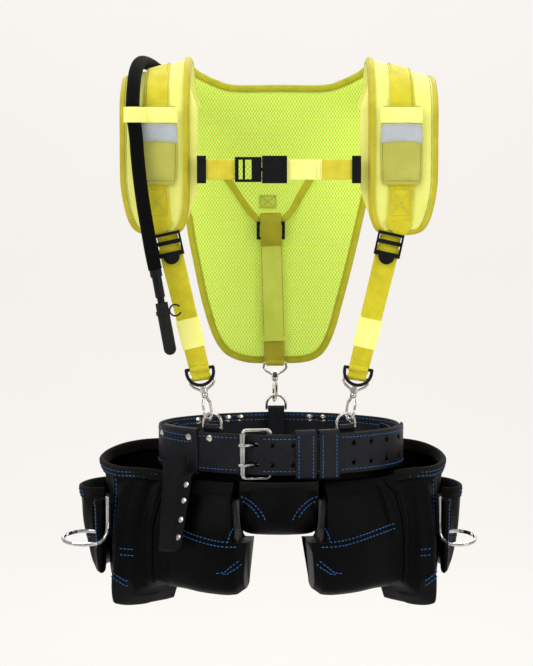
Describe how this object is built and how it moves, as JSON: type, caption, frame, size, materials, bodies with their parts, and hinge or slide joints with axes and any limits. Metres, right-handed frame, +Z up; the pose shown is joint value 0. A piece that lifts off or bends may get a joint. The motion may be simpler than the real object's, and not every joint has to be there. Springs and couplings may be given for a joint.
{
  "type": "tool belt",
  "caption": "Leather tool belt with hip pouches, prong buckle and hammer loops, hung from a hi-vis suspender harness with padded shoulders, mesh back panel and drinking hose.",
  "frame": {"origin": "middle of the waist loop, at half the height of the belt leather", "axes": "+X to the right seen from the front (the wearer's left), -Y out of the buckle, +Z up"},
  "size_m": [0.5311, 0.2865, 0.7045],
  "materials": {
    "black_leather": "smooth full-grain, satin",
    "bag_leather": "soft full-grain, semi-gloss",
    "sheath_leather": "matte split leather",
    "nickel": "polished nickel plate",
    "chrome_wire": "bright plate",
    "mesh_fabric": "spacer mesh",
    "pad_fabric": "woven nylon",
    "pocket_fabric": "woven nylon with reflective strip",
    "golden_webbing": "ribbed webbing",
    "black_plastic": "moulded acetal",
    "bladder_film": "clear film",
    "hose_sleeve": "braided sleeve",
    "valve_rubber": "matte"
  },
  "bodies": {
    "root": {"back_belt": "black_leather", "tongue_strap": "black_leather", "buckle_frame": "nickel", "rivets": "nickel", "dring_tabs": "black_leather", "main_bag_left": "bag_leather", "main_bag_right": "bag_leather", "side_pouch_left": "bag_leather", "side_pouch_right": "bag_leather", "centre_pouch": "black_leather", "tool_sheath": "sheath_leather", "sheath_hanger": "black_leather", "hammer_loop_left": "chrome_wire", "hammer_loop_right": "chrome_wire", "hammer_brackets": "bag_leather", "pencil_sleeves": "bag_leather", "back_panel": "mesh_fabric", "reservoir_sleeve": "pocket_fabric", "reservoir": "bladder_film", "rear_strap": "golden_webbing", "strap_cover": "pocket_fabric", "rear_triglide": "black_plastic", "shoulder_pad_left": "pad_fabric", "shoulder_pad_right": "pad_fabric", "pad_webbing_left": "golden_webbing", "pad_webbing_right": "golden_webbing", "pad_pocket_left": "pocket_fabric", "pad_pocket_right": "pocket_fabric", "lower_strap_left": "golden_webbing", "lower_strap_right": "golden_webbing", "drinking_hose": "hose_sleeve", "bite_valve": "valve_rubber"},
    "roller": {"buckle_roller": "nickel"},
    "prong_upper": {"prong_upper": "nickel"},
    "prong_lower": {"prong_lower": "nickel"},
    "keeper_inner": {"keeper_inner": "black_leather"},
    "keeper_outer": {"keeper_outer": "black_leather"},
    "dring_left": {"belt_dring_left": "nickel"},
    "dring_right": {"belt_dring_right": "nickel"},
    "dring_rear": {"belt_dring_rear": "nickel"},
    "frame_left": {"hook_frame_left": "nickel"},
    "hook_left": {"snap_hook_left": "nickel"},
    "gate_left": {"hook_gate_left": "nickel"},
    "frame_right": {"hook_frame_right": "nickel"},
    "hook_right": {"snap_hook_right": "nickel"},
    "gate_right": {"hook_gate_right": "nickel"},
    "frame_rear": {"hook_frame_rear": "nickel"},
    "hook_rear": {"snap_hook_rear": "nickel"},
    "gate_rear": {"hook_gate_rear": "nickel"},
    "strap_dring_left": {"strap_dring_left": "black_plastic"},
    "strap_dring_right": {"strap_dring_right": "black_plastic"},
    "lock_left": {"ladder_lock_left": "black_plastic"},
    "lock_right": {"ladder_lock_right": "black_plastic"},
    "chest": {"chest_webbing": "golden_webbing", "chest_sliders": "black_plastic", "chest_buckle_socket": "black_plastic", "chest_buckle_plug": "black_plastic"},
    "tab_upper": {"release_tab_upper": "black_plastic"},
    "tab_lower": {"release_tab_lower": "black_plastic"},
    "valve_cover": {"bite_cover": "valve_rubber"}
  },
  "joints": [
    {"name": "roller_spin", "type": "hinge", "parent": "root", "child": "roller", "pos_m": [-0.0455, -0.10815, 0], "axis": [0, 0, 1], "continuous": true},
    {"name": "prong_upper_hinge", "type": "hinge", "parent": "root", "child": "prong_upper", "pos_m": [-0.01097, -0.10418, 0.0125], "axis": [0, 0, 1], "range_deg": [0, 6]},
    {"name": "prong_lower_hinge", "type": "hinge", "parent": "root", "child": "prong_lower", "pos_m": [-0.01097, -0.10418, -0.0125], "axis": [0, 0, 1], "range_deg": [0, 6]},
    {"name": "keeper_inner_slide", "type": "hinge", "parent": "root", "child": "keeper_inner", "pos_m": [0, 0.0864, 0], "axis": [0, 0, 1], "range_deg": [-4.49, 0.45]},
    {"name": "keeper_outer_slide", "type": "hinge", "parent": "root", "child": "keeper_outer", "pos_m": [0, 0.0864, 0], "axis": [0, 0, 1], "range_deg": [-0.6, 0.15]},
    {"name": "dring_left_tilt", "type": "hinge", "parent": "root", "child": "dring_left", "pos_m": [-0.08411, -0.08084, 0.031], "axis": [0.8934, -0.4493, 0], "range_deg": [-1, 3]},
    {"name": "dring_right_tilt", "type": "hinge", "parent": "root", "child": "dring_right", "pos_m": [0.08411, -0.08084, 0.031], "axis": [0.8934, 0.4493, 0], "range_deg": [-3, 1]},
    {"name": "dring_rear_tilt", "type": "hinge", "parent": "root", "child": "dring_rear", "pos_m": [-0.00392, 0.10076, 0.031], "axis": [-0.9998, -0.0209, 0], "range_deg": [-3, 3]},
    {"name": "hook_frame_left_rock", "type": "hinge", "parent": "root", "child": "frame_left", "pos_m": [-0.0975, -0.0805, 0.094], "axis": [0.9848, 0, 0.1736], "range_deg": [-0.5, 1.5]},
    {"name": "hook_left_swivel", "type": "hinge", "parent": "frame_left", "child": "hook_left", "pos_m": [-0.0975, -0.0805, 0.094], "axis": [-0.1736, 0, 0.9848], "range_deg": [-8, 12]},
    {"name": "gate_left_swing", "type": "hinge", "parent": "hook_left", "child": "gate_left", "pos_m": [-0.09537, -0.08422, 0.06635], "axis": [0.7967, -0.5878, 0.1405], "range_deg": [0, 14], "stiffness_Nm_per_rad": 0.02, "springref_deg": -2.86},
    {"name": "hook_frame_right_rock", "type": "hinge", "parent": "root", "child": "frame_right", "pos_m": [0.0975, -0.0805, 0.094], "axis": [-0.9848, 0, 0.1736], "range_deg": [-1.5, 0.5]},
    {"name": "hook_right_swivel", "type": "hinge", "parent": "frame_right", "child": "hook_right", "pos_m": [0.0975, -0.0805, 0.094], "axis": [0.1736, 0, 0.9848], "range_deg": [-12, 8]},
    {"name": "gate_right_swing", "type": "hinge", "parent": "hook_right", "child": "gate_right", "pos_m": [0.09537, -0.08422, 0.06635], "axis": [0.7967, 0.5878, -0.1405], "range_deg": [0, 14], "stiffness_Nm_per_rad": 0.02, "springref_deg": -2.86},
    {"name": "hook_frame_rear_rock", "type": "hinge", "parent": "root", "child": "frame_rear", "pos_m": [-0.0055, 0.0914, 0.094], "axis": [1, 0, 0], "range_deg": [-1.5, 1.5]},
    {"name": "hook_rear_swivel", "type": "hinge", "parent": "frame_rear", "child": "hook_rear", "pos_m": [-0.0055, 0.0914, 0.094], "axis": [0, -0.2079, 0.9781], "range_deg": [-12, 12]},
    {"name": "gate_rear_swing", "type": "hinge", "parent": "hook_rear", "child": "gate_rear", "pos_m": [-0.00669, 0.09279, 0.06608], "axis": [0.9659, -0.2532, -0.0538], "range_deg": [0, 14], "stiffness_Nm_per_rad": 0.02, "springref_deg": -2.86},
    {"name": "strap_dring_left_flip", "type": "hinge", "parent": "root", "child": "strap_dring_left", "pos_m": [-0.0998, -0.0865, 0.106], "axis": [-0.9898, 0, -0.1426], "range_deg": [0, 80]},
    {"name": "strap_dring_right_flip", "type": "hinge", "parent": "root", "child": "strap_dring_right", "pos_m": [0.0998, -0.0865, 0.106], "axis": [-0.9898, 0, 0.1426], "range_deg": [0, 80]},
    {"name": "lock_left_tilt", "type": "hinge", "parent": "root", "child": "lock_left", "pos_m": [-0.13975, -0.0922, 0.27471], "axis": [-0.9774, 0, -0.2113], "range_deg": [0, 12]},
    {"name": "lock_right_tilt", "type": "hinge", "parent": "root", "child": "lock_right", "pos_m": [0.13975, -0.0922, 0.27471], "axis": [-0.9774, 0, 0.2113], "range_deg": [0, 12]},
    {"name": "chest_strap_slide", "type": "slide", "parent": "root", "child": "chest", "axis": [0, 0, 1], "range_m": [-0.025, 0.02]},
    {"name": "release_upper_press", "type": "hinge", "parent": "chest", "child": "tab_upper", "pos_m": [-0.0213, -0.0961, 0.3655], "axis": [0, 1, 0], "range_deg": [0, 5], "stiffness_Nm_per_rad": 0.05, "springref_deg": -1.15},
    {"name": "release_lower_press", "type": "hinge", "parent": "chest", "child": "tab_lower", "pos_m": [-0.0213, -0.0961, 0.3445], "axis": [0, -1, 0], "range_deg": [0, 5], "stiffness_Nm_per_rad": 0.05, "springref_deg": -1.15},
    {"name": "bite_cover_slide", "type": "slide", "parent": "root", "child": "valve_cover", "axis": [0.1772, 0, -0.9842], "range_m": [0, 0.04]}
  ],
  "couplings": [
    {"joint": "release_lower_press", "follows": "release_upper_press", "ratio": 1}
  ]
}
